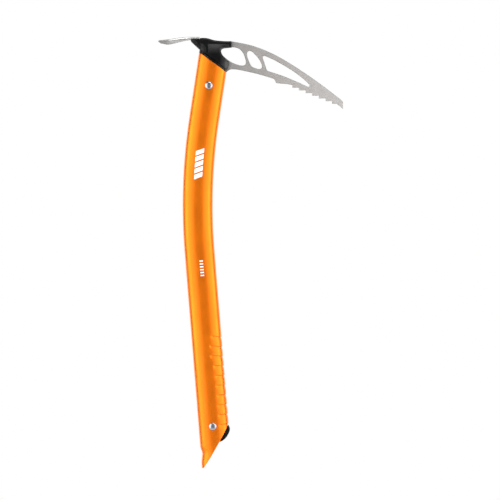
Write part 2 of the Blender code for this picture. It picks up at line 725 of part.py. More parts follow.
def make_sleeve(mat):
    end = HALF_DEPTH - WALL - GAP
    sleeve = spun("end_rivet_sleeve", [(SLEEVE_RADIUS, -end), (SLEEVE_RADIUS, end)], FOOT_RIVET_AT, mat)
    cut(sleeve, spun("sleeve_bore", [(RIVET_SHANK + GAP, -12.0), (RIVET_SHANK + GAP, 12.0)], FOOT_RIVET_AT))


def foot_cut_beside(shift):
    """The foot's cut moved towards the front by shift, as far down as the plug reaches."""
    cut_run = arc(FOOT_CUT_TOP, FOOT_CUT_TIP, FOOT_CUT_BULGE, 16)
    return [(x + shift, z) for x, z in cut_run if z > PLUG_LOWEST]


def make_plug(mat):
    """The moulded plug that closes the foot of the tube and swells out of its cut."""
    plug = tube_part("end_plug", [PLUG_START, PLUG_END],
                     HALF_WIDTH - WALL - GAP, HALF_DEPTH - WALL - GAP, mat, sides=32)
    bulb = tube_part("plug_bulb", [PLUG_START + 2.0, PLUG_END], HALF_WIDTH + 1.0, HALF_DEPTH, sides=32)
    lens = smooth([(-6.9, -385.4), (-5.3, -389.0), (-5.8, -392.5), (-7.6, -396.0), (-10.0, -399.2),
                   (-13.4, -401.8), (-16.0, -402.6)], 4)
    back = [(x, z - GAP) for x, z in reversed(foot_cut_beside(GAP))]
    keep_inside(bulb, prism("plug_lens", lens + back[:-1], -12.0, 12.0))
    body = [(-50.0, -370.0), (0.0, -370.0), (0.0, FOOT_CUT_TOP[1])] + foot_cut_beside(0.8)
    body += [(-15.9, -402.0), (-50.0, -399.0)]
    keep_inside(plug, prism("plug_side", body, -12.0, 12.0))
    join(plug, bulb)
    cut(plug, spun("plug_bore", [(SLEEVE_RADIUS + GAP, -12.0), (SLEEVE_RADIUS + GAP, 12.0)], FOOT_RIVET_AT))


def main():
    for obj in list(bpy.data.objects):
        bpy.data.objects.remove(obj, do_unlink=True)
    anodised = material("orange_anodised_aluminium", (0.72, 0.19, 0.02), 0.35, 1.0)
    steel = material("satin_steel", (0.42, 0.40, 0.38), 0.4, 1.0)
    adze_steel = material("satin_steel_sheet", (0.42, 0.40, 0.38), 0.4, 1.0)
    bright = material("bright_steel", (0.62, 0.64, 0.68), 0.2, 1.0)
    cover = material("black_moulded_plastic", (0.02, 0.02, 0.02), 0.5, 0.0)
    shim = material("grey_nylon", (0.2, 0.2, 0.2), 0.6, 0.0)
    rubber = material("black_rubber", (0.01, 0.01, 0.012), 0.6, 0.0)
    sleeve = material("aluminium", (0.7, 0.7, 0.7), 0.4, 1.0)
    make_shaft(anodised)
    make_pick(steel)
    make_adze(adze_steel)
    make_cover(cover)
    make_shims(shim)
    make_rivets(bright)
    make_sleeve(sleeve)
    make_plug(rubber)


main()
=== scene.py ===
"""The looks of the compact ice axe: fine meshes, materials, lights and the camera, round the CAD frame."""

from math import atan2, copysign, cos, exp, floor, hypot, pi, radians, sin, sqrt, tan

import bmesh
import bpy
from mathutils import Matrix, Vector
from mathutils.geometry import tessellate_polygon


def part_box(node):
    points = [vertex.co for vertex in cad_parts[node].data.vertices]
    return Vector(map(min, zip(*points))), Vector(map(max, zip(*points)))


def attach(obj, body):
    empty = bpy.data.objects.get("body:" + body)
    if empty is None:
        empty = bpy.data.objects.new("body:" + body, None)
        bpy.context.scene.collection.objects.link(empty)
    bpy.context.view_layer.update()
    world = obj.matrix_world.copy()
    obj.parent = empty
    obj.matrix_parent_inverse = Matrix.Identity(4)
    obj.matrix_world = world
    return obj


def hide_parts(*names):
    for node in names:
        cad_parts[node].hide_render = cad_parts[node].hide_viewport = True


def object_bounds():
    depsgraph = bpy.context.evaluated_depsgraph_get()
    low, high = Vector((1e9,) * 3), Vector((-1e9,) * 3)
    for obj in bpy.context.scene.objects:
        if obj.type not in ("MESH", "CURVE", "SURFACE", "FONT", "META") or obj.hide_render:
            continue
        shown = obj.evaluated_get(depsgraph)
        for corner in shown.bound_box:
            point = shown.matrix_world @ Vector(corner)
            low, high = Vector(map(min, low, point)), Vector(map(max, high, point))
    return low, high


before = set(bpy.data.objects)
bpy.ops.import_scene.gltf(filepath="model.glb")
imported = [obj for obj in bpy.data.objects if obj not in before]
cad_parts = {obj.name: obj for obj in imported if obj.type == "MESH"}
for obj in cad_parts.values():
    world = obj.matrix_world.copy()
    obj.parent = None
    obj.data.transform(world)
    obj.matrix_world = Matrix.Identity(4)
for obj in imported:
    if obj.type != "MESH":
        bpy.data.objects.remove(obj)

CAD_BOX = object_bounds()
MM = 0.001

# Dimensions below are in millimetres.
GAP = 0.3                      # clearance between two pieces that touch

# Shaft: an oval tube, straight at the head, bent in the middle, straight at the foot
JOINT = (-23.3, -7.0)          # where the axis meets the slanting joint with the head
LEAN_HEAD = radians(8.6)       # lean of the head end from the vertical
LEAN_FOOT = radians(-4.62)     # lean of the foot end, the other way
BEND_START = 60.0              # length of the straight head end
BEND_RADIUS = 598.0
BEND_END = BEND_START + (LEAN_HEAD - LEAN_FOOT) * BEND_RADIUS
HALF_WIDTH = 15.75             # of the oval, along the swing of the axe
HALF_DEPTH = 9.5               # of the oval, across it
OVAL_POWER = 2.35              # 2 is an ellipse, more is squarer
WALL = 1.4
SHAFT_RIM = 0.28               # how far the rounding of the tube's cut ends reaches
SHAFT_SIDES = 144
JOINT_SLOPE = radians(-36.3)   # the slanting joint falls towards the pick
FOOT_CUT_TOP = (-6.9, -384.9)  # where the spike's cut leaves the front of the tube
FOOT_CUT_TIP = (-32.6, -430.2)
FOOT_CUT_BULGE = 0.8           # how far the cut bows out
TIP_FLAT = 1.4                 # width of the blunt tip

# Dent in the back of the spike: its depth, and places as distances down the axis
PRESS = 1.5
DENT_START = 401.0
DENT_DEEPEST = 408.5
DENT_END = 419.0

# Finger grooves in the front of the grip
GROOVES = 10
GROOVE_FIRST = 289.4           # distance of the first groove down the axis, at the front edge
GROOVE_PITCH = 10.05
GROOVE_DEPTH = 0.68
GROOVE_SHELF = 0.07            # share of the pitch over which a groove drops in
GROOVE_SLOPE = 0.5             # share of the pitch over which it runs out again
GROOVE_FADE = 3.2              # length over which a groove's inner end fades
GROOVE_TILT = 0.19             # fall of the first groove, for each unit across
GROOVE_TURN = 0.27             # how much less the last one falls
GRIP_START = 279.0             # the shaft's mesh is closer between these two
GRIP_END = 378.0
GRIP_STEP = 0.45

# Pick
PLATE = 3.2                    # thickness
EDGE_CHAMFER = 0.32
TANG_HALF_WIDTH = 13.4
TANG_END = 36.5                # how far the tang runs down inside the tube
TEETH = 7
TOOTH_FIRST = (59.8, -30.3)    # top of the first tooth's steep face
TOOTH_PITCH = (6.93, -2.81)
TOOTH_STEP = 2.8

# Adze
SHEET = 1.8                    # thickness
ADZE_TIP = -80.2               # X of the cutting edge
ADZE_END = -37.0               # X of the inner end
ADZE_HALF_WIDTH = 22.0
ADZE_NECK_HALF_WIDTH = 8.8
ADZE_CORNER = -70.0            # X where the cutting edge's rounded corners start
ADZE_FLARE = 26.0              # length over which the sides run in to the neck
ADZE_LOW = 15.6                # height of the upper face at the cutting edge
ADZE_RISE = 3.5                # how much higher the neck lies
ADZE_RISE_START = -77.0
ADZE_RISE_LENGTH = 31.0
ADZE_DROOP = 0.7               # fall of the sides
ADZE_BOW = 2.4                 # how far the cutting edge bows out
ADZE_EDGE = 0.35               # thickness at the cutting edge
ADZE_BEVEL = 9.0               # length of the ground bevel
ADZE_ROUND = 0.45              # width of the rounding along the sides
ADZE_ROUND_SHARE = 0.28        # share of the thickness that the rounding takes
ADZE_DARK_SIDE = 1.3           # width of the dark band along the sides: sheared steel, darkened further as painted shade

# Relief of the head cover: heights of its lines, and depths from the middle plane
JOINT_GAP = 0.06               # between the cover and the shaft
LIP = 1.9                      # height of the rim along the joint
LIP_GROOVE = 0.5
SHOULDER_START = 2.0           # Z where the panel starts to slope back
SHOULDER_END = 11.7            # Z of the panel's upper edge
SHOULDER_DROP = 2.5
PANEL_LEFT = -28.3             # X of the panel's rear edge
PANEL_RISE = 0.5               # how far the panel stands out from the shaft's face
PANEL_POWER = 3.2              # squareness of the panel's section
RECESS_DEPTH = 7.0             # behind the panel
ARM_DEPTH = 6.0
NOSE_DEPTH = 5.2               # at the nose's edge
NOSE_SLOPE = 0.6
FLANGE_DEPTH = 3.8             # at the flange's edge
FLANGE_RISE = 3.2              # how much the flange swells from there
FLANGE_REACH = 6.0             # over this length
THINNEST = 0.6                 # least depth of the cover
CHEEK_PITCH = 0.5              # spacing of the mesh lines on the cover

# Rivets and plug
PLUG_VOXEL = 0.36
RIVET_SHANK = 2.4              # radius
RIVET_RIM = 0.25               # height of the straight rim under the dome
RIVET_SIDES = 56

# Printing on the shaft, in metres down the axis and across it
PRINT_EDGE = 0.0001            # softness of its edges
BARS_START = 0.0914
BARS_END = 0.1224
BARS_PITCH = 0.0062
BARS_HALF_WIDTH = 0.0042
BARS_SLANT = 0.45
TICKS_START = 0.207
TICKS_END = 0.225
TICKS_PITCH = 0.0030


# ---------------------------------------------------------------- curves and outlines

def smooth(points, steps=6):
    """A curve through the points, with the given number of steps between two of them."""
    ends = [points[0], *points, points[-1]]
    curve = []
    for a, b, c, d in zip(ends, ends[1:], ends[2:], ends[3:]):
        for i in range(steps):
            t = i / steps
            curve.append(tuple(
                q + t / 2 * (r - p + t * (2 * p - 5 * q + 4 * r - s + t * (3 * (q - r) + s - p)))
                for p, q, r, s in zip(a, b, c, d)))
    curve.append(tuple(points[-1]))
    return curve


def ring(points, steps=6):
    """A closed smooth curve through the points."""
    wrapped = [points[-1], *points, points[0], points[1]]
    curve = smooth(wrapped, steps)
    return curve[steps:-2 * steps]


def arc(start, end, bulge, steps):
    """An arc from start to end that bows to the left of the way it runs by bulge."""
    chord = Vector(end) - Vector(start)
    half = chord.length / 2
    radius = (half * half + bulge * bulge) / (2 * bulge)
    across = Vector((-chord.y, chord.x)).normalized()
    middle = (Vector(start) + Vector(end)) / 2 + across * (bulge - radius)
    first = Vector(start) - middle
    sweep = -copysign(2 * atan2(half, abs(radius - bulge)), bulge)
    points = []
    for i in range(steps + 1):
        a = sweep * i / steps
        points.append((middle.x + first.x * cos(a) - first.y * sin(a),
                       middle.y + first.x * sin(a) + first.y * cos(a)))
    return points


def circle(centre, radius, steps=48):
    """A closed circle as a list of points."""
    return [(centre[0] + radius * cos(2 * pi * i / steps), centre[1] + radius * sin(2 * pi * i / steps))
            for i in range(steps)]


def ease(t):
    """Smooth step from 0 to 1."""
    t = min(max(t, 0.0), 1.0)
    return t * t * (3 - 2 * t)


def distance_to_run(x, z, run):
    """Distance from a point to an open run of straight pieces."""
    best = float("inf")
    for (ax, az), (bx, bz) in zip(run, run[1:]):
        dx, dz = bx - ax, bz - az
        t = ((x - ax) * dx + (z - az) * dz) / max(dx * dx + dz * dz, 1e-12)
        t = min(max(t, 0.0), 1.0)
        best = min(best, hypot(x - ax - t * dx, z - az - t * dz))
    return best


def blend_points(a, b, t):
    """The point at the share t of the way from a to b."""
    return tuple(p + (q - p) * t for p, q in zip(a, b))


# ---------------------------------------------------------------- the shaft's axis and section

def lean_at(s):
    """Lean of the axis at s down from the joint."""
    turned = (min(max(s, BEND_START), BEND_END) - BEND_START) / BEND_RADIUS
    return LEAN_HEAD - turned


def axis(s):
    """The point of the axis at s down from the joint."""
    x, z = JOINT
    straight = min(s, BEND_START)
    x -= straight * sin(LEAN_HEAD)
    z -= straight * cos(LEAN_HEAD)
    if s > BEND_START:
        lean = lean_at(s)
        x -= BEND_RADIUS * (cos(lean) - cos(LEAN_HEAD))
        z -= BEND_RADIUS * (sin(LEAN_HEAD) - sin(lean))
    if s > BEND_END:
        x -= (s - BEND_END) * sin(LEAN_FOOT)
        z -= (s - BEND_END) * cos(LEAN_FOOT)
    return x, z


def beside(s, u):
    """The point (X, Z) at s down the axis and u across it, towards the pick."""
    x, z = axis(s)
    lean = lean_at(s)
    return x + u * cos(lean), z - u * sin(lean)


def head_place(x, z):
    """The (s, u) of a point by the straight head end."""
    dx, dz = x - JOINT[0], z - JOINT[1]
    return -dx * sin(LEAN_HEAD) - dz * cos(LEAN_HEAD), dx * cos(LEAN_HEAD) - dz * sin(LEAN_HEAD)


def foot_place(x, z):
    """The (s, u) of a point by the straight foot end."""
    ax, az = axis(BEND_END)
    dx, dz = x - ax, z - az
    return (BEND_END - dx * sin(LEAN_FOOT) - dz * cos(LEAN_FOOT),
            dx * cos(LEAN_FOOT) - dz * sin(LEAN_FOOT))


def joint_s(u, lift=0.0):
    """Where the joint's slanting plane, raised by lift, is at u across the axis."""
    tilt = JOINT_SLOPE + LEAN_HEAD
    return -u * tan(tilt) - lift / cos(tilt)


def joint_line(u, lift):
    """The point of the joint's plane at u across the axis, raised by lift."""
    return beside(joint_s(u, lift), u)


def above_joint(x, z):
    """Distance of a point from the joint's slanting plane."""
    return (z - JOINT[1]) * cos(JOINT_SLOPE) - (x - JOINT[0]) * sin(JOINT_SLOPE)


def oval_offset(a, half_width, half_depth):
    """Offset (across, Y) of an oval section at the angle a."""
    c, d = cos(a), sin(a)
    return (copysign(half_width * abs(c) ** (2 / OVAL_POWER), c),
            copysign(half_depth * abs(d) ** (2 / OVAL_POWER), d))


def oval_depth(u, half_width, half_depth, power=OVAL_POWER):
    """Half depth of an oval section at u across it."""
    rest = max(0.0, 1 - abs(u / half_width) ** power)
    return half_depth * rest ** (1 / power)


# ---------------------------------------------------------------- meshes

def finish_mesh(name, bm, materials, sharp=None):
    """Turn a bmesh in millimetres into an object in metres, smooth but for edges above the sharp angle."""
    bmesh.ops.recalc_face_normals(bm, faces=bm.faces)
    bmesh.ops.scale(bm, vec=(MM, MM, MM), verts=bm.verts)
    for face in bm.faces:
        face.smooth = True
    mesh = bpy.data.meshes.new(name)
    bm.to_mesh(mesh)
    bm.free()
    if sharp is not None:
        mesh.set_sharp_from_angle(angle=radians(sharp))
    for mat in materials:
        mesh.materials.append(mat)
    obj = bpy.data.objects.new(name, mesh)
    bpy.context.collection.objects.link(obj)
    return obj


def stack_bm(rings):
    """A closed bmesh through a stack of rings, each a list of (x, y, z)."""
    bm = bmesh.new()
    loops = [[bm.verts.new(p) for p in points] for points in rings]
    for low, high in zip(loops, loops[1:]):
        count = len(low)
        for i in range(count):
            j = (i + 1) % count
            bm.faces.new((low[i], low[j], high[j], high[i]))
    bm.faces.new(loops[0])
    bm.faces.new(loops[-1])
    return bm


def prism(name, outline, y_low, y_high, materials=()):
    """The outline (X, Z) made solid from y_low to y_high."""
    rings = [[(x, y, z) for x, z in outline] for y in (y_low, y_high)]
    return finish_mesh(name, stack_bm(rings), materials, sharp=30)


def apply_boolean(target, tool, operation="DIFFERENCE"):
    """Cut, join or intersect now, and delete the tool."""
    boolean = target.modifiers.new("boolean", "BOOLEAN")
    boolean.operation = operation
    boolean.solver = "EXACT"
    boolean.object = tool
    bake_modifiers(target)
    bpy.data.objects.remove(tool, do_unlink=True)


def bake_modifiers(obj):
    """Replace the object's mesh by what its modifiers make of it."""
    depsgraph = bpy.context.evaluated_depsgraph_get()
    mesh = bpy.data.meshes.new_from_object(obj.evaluated_get(depsgraph))
    obj.modifiers.clear()
    obj.data = mesh


def place(piece, slot_name, *nodes):
    """The piece rides on the axe and stands for these CAD nodes."""
    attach(piece, "root")
    if nodes:
        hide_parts(*nodes)
    return piece


# ---------------------------------------------------------------- materials

class Nodes:
    """Short ways to add and link the nodes of one material."""

    def __init__(self, name):
        self.material = bpy.data.materials.new(name)
        self.material.use_nodes = True
        self.tree = self.material.node_tree
        self.shader = self.tree.nodes["Principled BSDF"]
        self.coords = self.tree.nodes.new("ShaderNodeTexCoord")

    def set(self, **values):
        for key, value in values.items():
            self.shader.inputs[key.replace("_", " ")].default_value = value

    def link(self, source, target):
        self.tree.links.new(source, target)

    def noise(self, scale, detail=3.0, stretch=(1, 1, 1)):
        """Noise between 0 and 1 in object space; scale counts features per metre."""
        mapping = self.tree.nodes.new("ShaderNodeMapping")
        mapping.inputs["Scale"].default_value = stretch
        self.link(self.coords.outputs["Object"], mapping.inputs["Vector"])
        node = self.tree.nodes.new("ShaderNodeTexNoise")
        node.inputs["Scale"].default_value = scale
        node.inputs["Detail"].default_value = detail
        self.link(mapping.outputs["Vector"], node.inputs["Vector"])
        return node.outputs["Fac"]

    def scale_to(self, source, low, high, source_low=0.3, source_high=0.7):
        """Map a value onto the range from low to high."""
        node = self.tree.nodes.new("ShaderNodeMapRange")
        node.inputs["From Min"].default_value = source_low
        node.inputs["From Max"].default_value = source_high
        node.inputs["To Min"].default_value = low
        node.inputs["To Max"].default_value = high
        self.link(source, node.inputs["Value"])
        return node.outputs["Result"]

    def object_axis(self, letter):
        """One coordinate of the object's own space, in metres."""
        split = self.tree.nodes.new("ShaderNodeSeparateXYZ")
        self.link(self.coords.outputs["Object"], split.inputs["Vector"])
        return split.outputs[letter]

    def math(self, operation, a, b):
        node = self.tree.nodes.new("ShaderNodeMath")
        node.operation = operation
        for socket, value in zip(node.inputs, (a, b)):
            if isinstance(value, (int, float)):
                socket.default_value = value
            else:
                self.link(value, socket)
        return node.outputs["Value"]

    def mix_colour(self, factor, a, b):
        node = self.tree.nodes.new("ShaderNodeMix")
        node.data_type = "RGBA"
        self.link(factor, node.inputs["Factor"])
        for socket, value in ((node.inputs["A"], a), (node.inputs["B"], b)):
            if isinstance(value, tuple):
                socket.default_value = (*value, 1.0)
            else:
                self.link(value, socket)
        return node.outputs["Result"]

    def bump(self, height, strength, distance):
        node = self.tree.nodes.new("ShaderNodeBump")
        node.inputs["Strength"].default_value = strength
        node.inputs["Distance"].default_value = distance
        self.link(height, node.inputs["Height"])
        if self.shader.inputs["Normal"].is_linked:
            self.link(self.shader.inputs["Normal"].links[0].from_socket, node.inputs["Normal"])
        self.link(node.outputs["Normal"], self.shader.inputs["Normal"])


def anodised_orange():
    """Bead-blasted, anodised aluminium with a white print on it."""
    n = Nodes("anodised_orange")
    n.set(Coat_Weight=0.22, Coat_Roughness=0.25)
    cloud = n.noise(18.0, 4.0)
    colour = n.mix_colour(n.scale_to(cloud, 0.0, 1.0), (0.80, 0.170, 0.0025), (0.85, 0.192, 0.0035))
    print_mask = printed_marks(n)
    colour = n.mix_colour(print_mask, colour, (0.88, 0.87, 0.85))
    n.link(colour, n.shader.inputs["Base Color"])
    n.link(n.scale_to(print_mask, 1.0, 0.0, 0.0, 1.0), n.shader.inputs["Metallic"])
    rough = n.scale_to(n.noise(55.0, 5.0), 0.37, 0.44)
    n.link(rough, n.shader.inputs["Roughness"])
    n.bump(n.noise(2600.0, 2.0), 0.22, 0.00006)
    n.bump(n.noise(260.0, 3.0, (1, 1, 0.05)), 0.06, 0.0001)
    return n.material


def printed_marks(n):
    """A stack of slanting bars and a row of short ticks, in the shaft's (s, u) places in metres."""
    uv = n.tree.nodes.new("ShaderNodeUVMap")
    uv.uv_map = "place"
    split = n.tree.nodes.new("ShaderNodeSeparateXYZ")
    n.link(uv.outputs["UV"], split.inputs["Vector"])
    s, u = split.outputs["X"], split.outputs["Y"]

    def band(value, low, high):
        above = n.scale_to(value, 0.0, 1.0, low - PRINT_EDGE, low + PRINT_EDGE)
        below = n.scale_to(value, 1.0, 0.0, high - PRINT_EDGE, high + PRINT_EDGE)
        return n.math("MULTIPLY", above, below)

    def repeat(value, pitch):
        return n.math("PINGPONG", value, pitch / 2)

    slanted = n.math("ADD", s, n.math("MULTIPLY", u, BARS_SLANT))
    bars = band(repeat(n.math("SUBTRACT", slanted, BARS_START), BARS_PITCH), 0.00075, 0.0040)
    bars = n.math("MULTIPLY", bars, band(slanted, BARS_START, BARS_END))
    bars = n.math("MULTIPLY", bars, band(u, -BARS_HALF_WIDTH, BARS_HALF_WIDTH))
    ticks = band(repeat(n.math("SUBTRACT", s, TICKS_START), TICKS_PITCH), 0.0009, 0.0016)
    ticks = n.math("MULTIPLY", ticks, band(s, TICKS_START, TICKS_END))
    ticks = n.math("MULTIPLY", ticks, band(u, -0.0008, 0.0030))
    return n.math("MULTIPLY", n.math("MAXIMUM", bars, ticks), front_only(n))


def front_only(n):
    """1 on the side of the shaft with the print, where Y is negative."""
    return n.scale_to(n.object_axis("Y"), 1.0, 0.0, -0.0006, -0.0004)


def tumbled_steel(name, tone, roughness, edge=False):
    """Tumbled steel: slightly mottled, faintly scratched along X, and with a painted highlight that makes
    it paler towards the pick's tip.
    """
    n = Nodes(name)
    n.set(Metallic=1.0)
    mottled = tuple(c * 0.9 for c in tone)
    colour = n.mix_colour(n.scale_to(n.noise(70.0, 6.0), 0.0, 1.0), mottled, tone)
    # Painted highlight: the colour turns paler along X towards the pick's tip, standing in for the light
    # that falls more strongly there.
    along = n.object_axis("X")
    mottle_and_painted_highlight = tuple(min(c * 1.45, 0.9) for c in tone)
    colour = n.mix_colour(n.scale_to(along, 0.0, 1.0, 0.0, 0.11), colour, mottle_and_painted_highlight)
    n.link(colour, n.shader.inputs["Base Color"])
    rough = n.scale_to(n.noise(160.0, 4.0), roughness - 0.04, roughness + 0.05)
    n.link(rough, n.shader.inputs["Roughness"])
    n.bump(n.noise(1800.0, 3.0), 0.10 if edge else 0.16, 0.00006)
    n.bump(n.noise(500.0, 2.0, (0.06, 1, 1)), 0.05, 0.00006)
    return n.material


def sheet_finish():
    """The adze's sheet: brushed pale steel, duller and darker where it is ground to the edge."""
    n = Nodes("sheet_steel")
    n.set(Metallic=1.0)
    cloud = n.scale_to(n.noise(90.0, 6.0), 0.0, 1.0)
    mottled = n.mix_colour(cloud, (0.74, 0.73, 0.71), (0.82, 0.81, 0.79))
    ground = n.scale_to(n.object_axis("X"), 1.0, 0.0, -0.0735, -0.0665)
    colour = n.mix_colour(ground, mottled, (0.42, 0.395, 0.37))
    n.link(colour, n.shader.inputs["Base Color"])
    n.link(n.scale_to(n.noise(160.0, 4.0), 0.42, 0.52), n.shader.inputs["Roughness"])
    n.bump(n.noise(900.0, 3.0, (0.08, 1, 1)), 0.08, 0.00005)
    return n.material


def moulded_black(name, tone, roughness, specular, grain, grain_strength, painted_highlights=False):
    """Moulded plastic or rubber with a fine grain, and on the cover with painted highlights on its nose and
    panel.
    """
    n = Nodes(name)
    n.set(Metallic=0.0, Specular_IOR_Level=specular)
    mottle_and_painted_highlight = n.noise(45.0, 6.0)
    dark = tuple(c * 0.8 for c in tone)
    colour = n.mix_colour(n.scale_to(mottle_and_painted_highlight, 0.0, 1.0), dark, tone)
    if painted_highlights:
        colour = paint_cover_highlights(n, colour, mottle_and_painted_highlight)
    n.link(colour, n.shader.inputs["Base Color"])
    rough = n.scale_to(n.noise(120.0, 4.0), roughness - 0.05, roughness + 0.06)
    n.link(rough, n.shader.inputs["Roughness"])
    n.bump(n.noise(grain, 2.0), grain_strength, 0.0001)
    return n.material


def paint_cover_highlights(n, colour, mottle_and_painted_highlight):
    """Painted highlights: paler plastic on the cover's nose and on the upper part of its panel, standing in
    for the light these faces catch.
    """
    along, up = n.object_axis("X"), n.object_axis("Z")
    # Painted highlight on the nose, whose end face turns towards the light on the right.
    nose = n.math("MULTIPLY", n.scale_to(along, 0.0, 1.0, -0.0114, -0.0094),
                  n.scale_to(up, 1.0, 0.0, -0.0075, -0.0045))
    colour = n.mix_colour(nose, colour, (0.050, 0.046, 0.042))
    # Painted highlight on the upper part of the panel, where its shoulder catches the light from above,
    # varied by the mottle.
    panel = n.math("MULTIPLY", n.scale_to(along, 0.0, 1.0, -0.0284, -0.0279),
                   n.scale_to(along, 1.0, 0.0, -0.0190, -0.0120))
    height = n.math("MULTIPLY", n.scale_to(up, 0.0, 1.0, 0.0015, 0.0085),
                    n.scale_to(up, 1.0, 0.0, 0.0116, 0.0120))
    painted_highlight_mask = n.math("MULTIPLY", n.math("MULTIPLY", panel, height), n.scale_to(mottle_and_painted_highlight, 0.75, 1.0))
    return n.mix_colour(painted_highlight_mask, colour, (0.030, 0.030, 0.030))


def bright_steel():
    """Polished rivet steel, slightly uneven."""
    n = Nodes("bright_steel")
    n.set(Metallic=1.0)
    cloud = n.scale_to(n.noise(300.0, 4.0), 0.0, 1.0)
    tone = n.mix_colour(cloud, (0.36, 0.37, 0.40), (0.44, 0.45, 0.48))
    n.link(tone, n.shader.inputs["Base Color"])
    n.link(n.scale_to(n.noise(700.0, 3.0), 0.14, 0.22), n.shader.inputs["Roughness"])
    n.bump(n.noise(1500.0, 2.0), 0.05, 0.00004)
    return n.material


def plain_inside(name, tone, roughness, metallic):
    """Finish of the pieces hidden inside the head and the tube."""
    n = Nodes(name)
    n.set(Metallic=metallic)
    dark = tuple(c * 0.85 for c in tone)
    cloud = n.scale_to(n.noise(150.0, 4.0), 0.0, 1.0)
    n.link(n.mix_colour(cloud, dark, tone), n.shader.inputs["Base Color"])
    rough = n.scale_to(n.noise(400.0, 3.0), roughness - 0.05, roughness + 0.05)
    n.link(rough, n.shader.inputs["Roughness"])
    n.bump(n.noise(1500.0, 2.0), 0.08, 0.00005)
    return n.material


# ---------------------------------------------------------------- shaft

def groove_reach(number):
    """How far across the axis the inner end of a groove lies: the upper ones reach further in."""
    return 5.4 - 4.4 * exp(-((number - 1.5) / 1.3) ** 2)


def groove_tilt(s):
    """Slope of the grooves: the top ones fall towards the front edge, the bottom ones rise."""
    t = (s - GROOVE_FIRST) / (GROOVES * GROOVE_PITCH)
    grip = ease((t + 0.25) / 0.2) * (1 - ease((t - 1.02) / 0.1))
    return (GROOVE_TILT - GROOVE_TURN * t) * grip


def groove_cut(s, u):
    """Depth of the grooves at (s, u): a short shelf, then a long slope back out, ending at the reach."""
    along = s - groove_tilt(s) * (u - HALF_WIDTH) - GROOVE_FIRST
    number = floor(along / GROOVE_PITCH + GROOVE_SHELF)
    t = along / GROOVE_PITCH - number
    depth = 0.0
    if 0 <= number < GROOVES:
        if t < 0.0:
            depth = ease(1 + t / GROOVE_SHELF)
        elif t < GROOVE_SLOPE:
            depth = (1 - t / GROOVE_SLOPE) ** 1.6
        depth *= ease((u - groove_reach(number)) / GROOVE_FADE)
    return GROOVE_DEPTH * depth


def dent_depth(s):
    """How far the back wall is pressed in at s."""
    if s < DENT_DEEPEST:
        return PRESS * ease((s - DENT_START) / (DENT_DEEPEST - DENT_START))
    return PRESS * (1 - ease((s - DENT_DEEPEST) / (DENT_END - DENT_DEEPEST)))


def tube_point(s, a, half_width, half_depth, grooved):
    """Point of the tube at s and the angle a, with its (s, u) place for the print."""
    u, y = oval_offset(a, half_width, half_depth)
    flat_u = u
    if grooved and u > 0:
        depth = groove_cut(s, u)
        nu = (u / half_width) ** (OVAL_POWER - 1) / half_width
        ny = copysign((abs(y) / half_depth) ** (OVAL_POWER - 1) / half_depth, y)
        length = hypot(nu, ny)
        u -= depth * nu / length
        y -= depth * ny / length
    if u < 0:
        u += dent_depth(s) * ease(-u / HALF_WIDTH * 1.6 - 0.3)
    x, z = beside(s, u)
    return (x, y, z), (s * MM, flat_u * MM)


def foot_cut_s():
    """The foot's cut as a list of (u, s), from the tip to the front."""
    run = arc(FOOT_CUT_TOP, FOOT_CUT_TIP, FOOT_CUT_BULGE, 60)
    run.append((FOOT_CUT_TIP[0] - TIP_FLAT, FOOT_CUT_TIP[1] - 0.4))
    places = [foot_place(x, z) for x, z in run]
    return sorted((u, s) for s, u in places)


def s_on_cut(table, u):
    """Where the foot's cut is at u across the axis."""
    if u <= table[0][0]:
        return table[0][1]
    for (u0, s0), (u1, s1) in zip(table, table[1:]):
        if u <= u1:
            return s0 + (s1 - s0) * (u - u0) / (u1 - u0)
    return table[-1][1]


def shaft_stations():
    """Distances down the axis of the rings between the two cut ends."""
    stations = [14.0 + 3.0 * i for i in range(15)]
    stations += [BEND_START + (BEND_END - BEND_START) * i / 60 for i in range(61)]
    stations += [BEND_END + 4.0 * i for i in range(1, 20)]
    stations += [GRIP_START + GRIP_STEP * i for i in range(int((GRIP_END - GRIP_START) / GRIP_STEP) + 1)]
    return [s for i, s in enumerate(stations) if i == 0 or s > stations[i - 1]]


